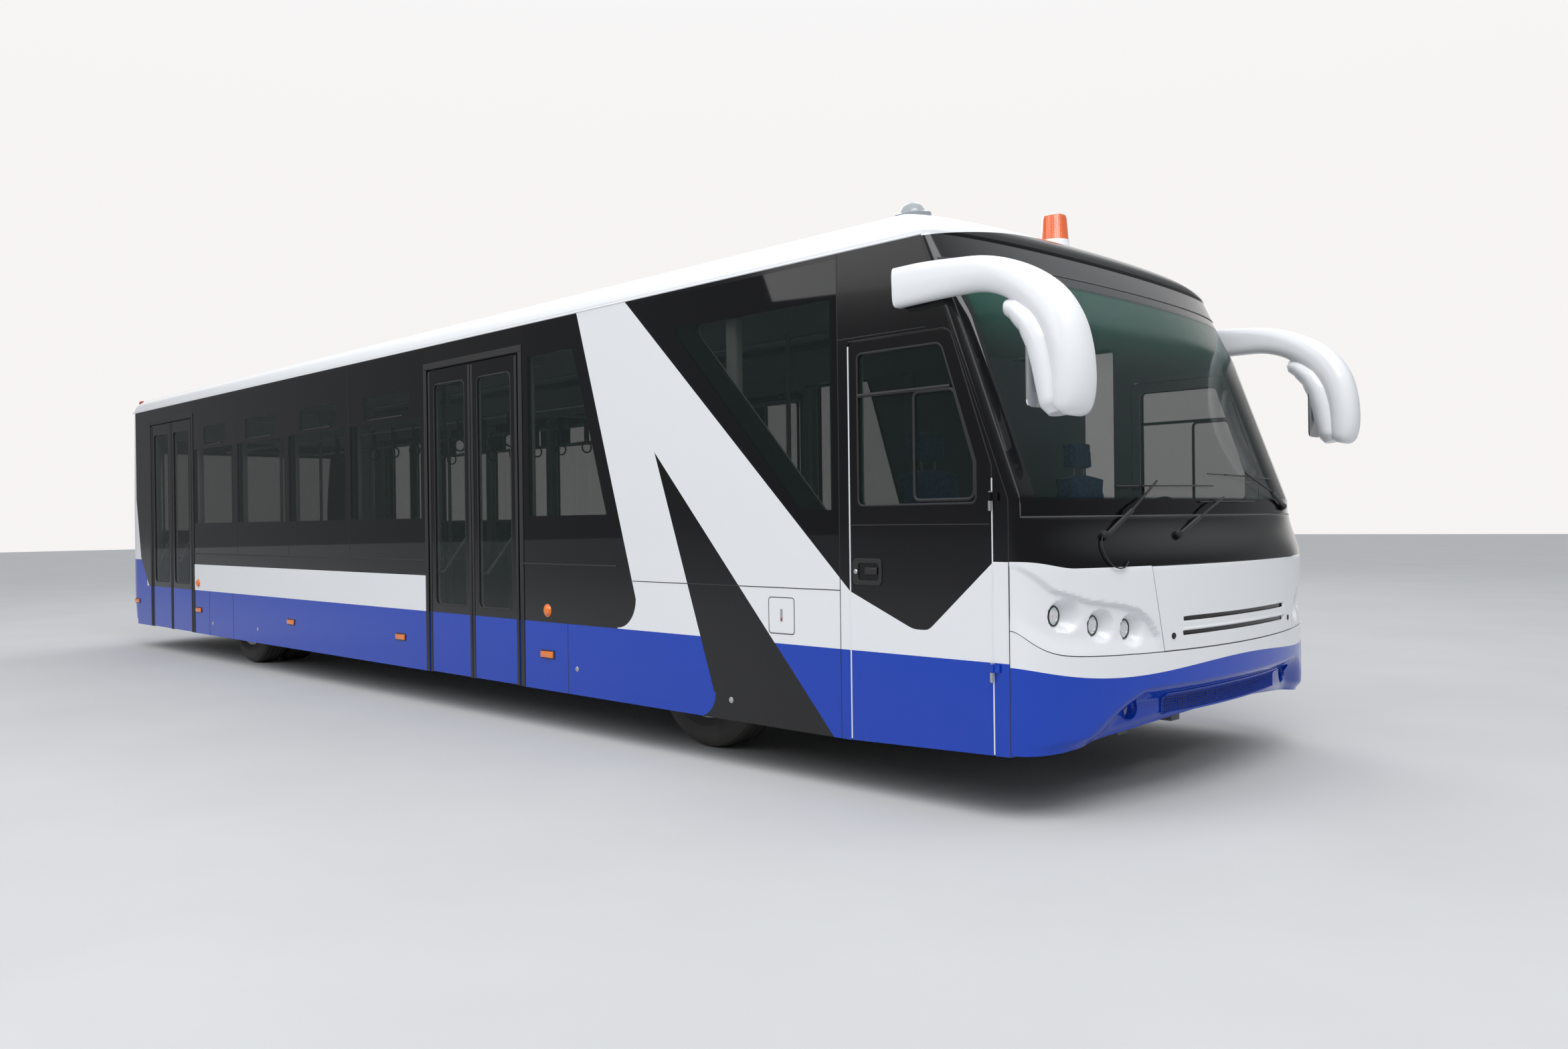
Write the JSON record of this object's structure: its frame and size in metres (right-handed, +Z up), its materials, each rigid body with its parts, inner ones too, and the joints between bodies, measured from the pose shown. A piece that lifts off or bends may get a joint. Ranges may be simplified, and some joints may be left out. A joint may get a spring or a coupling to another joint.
{
  "type": "airport passenger bus",
  "caption": "Wide low-floor airport apron bus with double swinging doors on both sides, front-hinged cab doors, steered front wheels and hooded mirrors.",
  "frame": {"origin": "on the ground below the centre of the body", "axes": "+X forward, +Y to the bus's left, +Z up"},
  "size_m": [13.5985, 3.38, 3.1977],
  "materials": {
    "white": "gloss white paint",
    "blue": "gloss blue paint",
    "black": "gloss black",
    "glass": "tinted clear",
    "grey": "matt grey",
    "steel": "satin",
    "rubber": "matt",
    "cloth": "woven",
    "plastic": "grained",
    "amber": "clear gloss"
  },
  "bodies": {
    "body": {"floor_deck": "grey", "front_platform": "grey", "engine_block": "steel", "front_axle": "steel", "rear_axle": "steel", "roof": "white", "front_mask": "white", "windscreen": "glass", "front_bumper": "blue", "rear_wall": "white", "rear_window": "glass", "rear_bumper": "blue", "side_wall_right": "white", "side_wall_left": "white", "main_glass_right": "glass", "main_glass_left": "glass", "mid_glass_right": "glass", "mid_glass_left": "glass", "front_glass_right": "glass", "front_glass_left": "glass", "mirror_right": "white", "mirror_left": "white", "dashboard": "plastic", "driver_seat": "cloth", "assistant_seat": "cloth", "cab_partition": "steel", "grab_rails": "steel", "beacon": "amber"},
    "front_lid": {"front_lid": "white"},
    "cab_door_right": {"cab_door_right": "white"},
    "mid_door_rear_right_arm": {"mid_door_rear_right_arm": "steel"},
    "mid_door_rear_right_leaf": {"mid_door_rear_right_leaf": "black"},
    "mid_door_front_right_arm": {"mid_door_front_right_arm": "steel"},
    "mid_door_front_right_leaf": {"mid_door_front_right_leaf": "black"},
    "rear_door_rear_right_arm": {"rear_door_rear_right_arm": "steel"},
    "rear_door_rear_right_leaf": {"rear_door_rear_right_leaf": "black"},
    "rear_door_front_right_arm": {"rear_door_front_right_arm": "steel"},
    "rear_door_front_right_leaf": {"rear_door_front_right_leaf": "black"},
    "knuckle_right": {"knuckle_right": "steel"},
    "front_wheel_right": {"front_wheel_right": "rubber"},
    "rear_wheel_right": {"rear_wheel_right": "rubber"},
    "cab_door_left": {"cab_door_left": "white"},
    "mid_door_rear_left_arm": {"mid_door_rear_left_arm": "steel"},
    "mid_door_rear_left_leaf": {"mid_door_rear_left_leaf": "black"},
    "mid_door_front_left_arm": {"mid_door_front_left_arm": "steel"},
    "mid_door_front_left_leaf": {"mid_door_front_left_leaf": "black"},
    "rear_door_rear_left_arm": {"rear_door_rear_left_arm": "steel"},
    "rear_door_rear_left_leaf": {"rear_door_rear_left_leaf": "black"},
    "rear_door_front_left_arm": {"rear_door_front_left_arm": "steel"},
    "rear_door_front_left_leaf": {"rear_door_front_left_leaf": "black"},
    "knuckle_left": {"knuckle_left": "steel"},
    "front_wheel_left": {"front_wheel_left": "rubber"},
    "rear_wheel_left": {"rear_wheel_left": "rubber"}
  },
  "joints": [
    {"name": "front_lid_hinge", "type": "hinge", "parent": "body", "child": "front_lid", "pos_m": [6.785, 0, 1.18], "axis": [0, -1, 0], "range_deg": [0, 75]},
    {"name": "cab_door_right_hinge", "type": "hinge", "parent": "body", "child": "cab_door_right", "pos_m": [6.2475, -1.512, 1.3], "axis": [0, 0, 1], "range_deg": [0, 80]},
    {"name": "mid_door_rear_right_swing", "type": "hinge", "parent": "body", "child": "mid_door_rear_right_arm", "pos_m": [1.01, -1.388, 1.4], "axis": [0, 0, -1], "range_deg": [0, 140]},
    {"name": "mid_door_rear_right_parallel", "type": "hinge", "parent": "mid_door_rear_right_arm", "child": "mid_door_rear_right_leaf", "pos_m": [1.30544, -1.44009, 1.4], "axis": [0, 0, -1], "range_deg": [-140, 0]},
    {"name": "mid_door_front_right_swing", "type": "hinge", "parent": "body", "child": "mid_door_front_right_arm", "pos_m": [2.19, -1.388, 1.4], "axis": [0, 0, 1], "range_deg": [0, 140]},
    {"name": "mid_door_front_right_parallel", "type": "hinge", "parent": "mid_door_front_right_arm", "child": "mid_door_front_right_leaf", "pos_m": [1.89456, -1.44009, 1.4], "axis": [0, 0, 1], "range_deg": [-140, 0]},
    {"name": "rear_door_rear_right_swing", "type": "hinge", "parent": "body", "child": "rear_door_rear_right_arm", "pos_m": [-5.545, -1.388, 1.4], "axis": [0, 0, -1], "range_deg": [0, 140]},
    {"name": "rear_door_rear_right_parallel", "type": "hinge", "parent": "rear_door_rear_right_arm", "child": "rear_door_rear_right_leaf", "pos_m": [-5.24956, -1.44009, 1.4], "axis": [0, 0, -1], "range_deg": [-140, 0]},
    {"name": "rear_door_front_right_swing", "type": "hinge", "parent": "body", "child": "rear_door_front_right_arm", "pos_m": [-4.325, -1.388, 1.4], "axis": [0, 0, 1], "range_deg": [0, 140]},
    {"name": "rear_door_front_right_parallel", "type": "hinge", "parent": "rear_door_front_right_arm", "child": "rear_door_front_right_leaf", "pos_m": [-4.62044, -1.44009, 1.4], "axis": [0, 0, 1], "range_deg": [-140, 0]},
    {"name": "steering_right", "type": "hinge", "parent": "body", "child": "knuckle_right", "pos_m": [3.87, -0.93, 0.478], "axis": [0, 0, 1], "range_deg": [-36, 36]},
    {"name": "front_wheel_right_spin", "type": "hinge", "parent": "knuckle_right", "child": "front_wheel_right", "pos_m": [3.87, -0.93, 0.478], "axis": [0, 1, 0], "continuous": true},
    {"name": "rear_wheel_right_spin", "type": "hinge", "parent": "body", "child": "rear_wheel_right", "pos_m": [-3.235, -1, 0.478], "axis": [0, 1, 0], "continuous": true},
    {"name": "cab_door_left_hinge", "type": "hinge", "parent": "body", "child": "cab_door_left", "pos_m": [6.2475, 1.512, 1.3], "axis": [0, 0, -1], "range_deg": [0, 80]},
    {"name": "mid_door_rear_left_swing", "type": "hinge", "parent": "body", "child": "mid_door_rear_left_arm", "pos_m": [1.01, 1.388, 1.4], "axis": [0, 0, 1], "range_deg": [0, 140]},
    {"name": "mid_door_rear_left_parallel", "type": "hinge", "parent": "mid_door_rear_left_arm", "child": "mid_door_rear_left_leaf", "pos_m": [1.30544, 1.44009, 1.4], "axis": [0, 0, 1], "range_deg": [-140, 0]},
    {"name": "mid_door_front_left_swing", "type": "hinge", "parent": "body", "child": "mid_door_front_left_arm", "pos_m": [2.19, 1.388, 1.4], "axis": [0, 0, -1], "range_deg": [0, 140]},
    {"name": "mid_door_front_left_parallel", "type": "hinge", "parent": "mid_door_front_left_arm", "child": "mid_door_front_left_leaf", "pos_m": [1.89456, 1.44009, 1.4], "axis": [0, 0, -1], "range_deg": [-140, 0]},
    {"name": "rear_door_rear_left_swing", "type": "hinge", "parent": "body", "child": "rear_door_rear_left_arm", "pos_m": [-5.545, 1.388, 1.4], "axis": [0, 0, 1], "range_deg": [0, 140]},
    {"name": "rear_door_rear_left_parallel", "type": "hinge", "parent": "rear_door_rear_left_arm", "child": "rear_door_rear_left_leaf", "pos_m": [-5.24956, 1.44009, 1.4], "axis": [0, 0, 1], "range_deg": [-140, 0]},
    {"name": "rear_door_front_left_swing", "type": "hinge", "parent": "body", "child": "rear_door_front_left_arm", "pos_m": [-4.325, 1.388, 1.4], "axis": [0, 0, -1], "range_deg": [0, 140]},
    {"name": "rear_door_front_left_parallel", "type": "hinge", "parent": "rear_door_front_left_arm", "child": "rear_door_front_left_leaf", "pos_m": [-4.62044, 1.44009, 1.4], "axis": [0, 0, -1], "range_deg": [-140, 0]},
    {"name": "steering_left", "type": "hinge", "parent": "body", "child": "knuckle_left", "pos_m": [3.87, 0.93, 0.478], "axis": [0, 0, 1], "range_deg": [-36, 36]},
    {"name": "front_wheel_left_spin", "type": "hinge", "parent": "knuckle_left", "child": "front_wheel_left", "pos_m": [3.87, 0.93, 0.478], "axis": [0, 1, 0], "continuous": true},
    {"name": "rear_wheel_left_spin", "type": "hinge", "parent": "body", "child": "rear_wheel_left", "pos_m": [-3.235, 1, 0.478], "axis": [0, 1, 0], "continuous": true}
  ],
  "couplings": [
    {"joint": "mid_door_rear_right_parallel", "follows": "mid_door_rear_right_swing", "ratio": -1},
    {"joint": "mid_door_front_right_parallel", "follows": "mid_door_front_right_swing", "ratio": -1},
    {"joint": "rear_door_rear_right_parallel", "follows": "rear_door_rear_right_swing", "ratio": -1},
    {"joint": "rear_door_front_right_parallel", "follows": "rear_door_front_right_swing", "ratio": -1},
    {"joint": "mid_door_rear_left_parallel", "follows": "mid_door_rear_left_swing", "ratio": -1},
    {"joint": "mid_door_front_left_parallel", "follows": "mid_door_front_left_swing", "ratio": -1},
    {"joint": "rear_door_rear_left_parallel", "follows": "rear_door_rear_left_swing", "ratio": -1},
    {"joint": "rear_door_front_left_parallel", "follows": "rear_door_front_left_swing", "ratio": -1},
    {"joint": "steering_right", "follows": "steering_left", "ratio": 1}
  ]
}
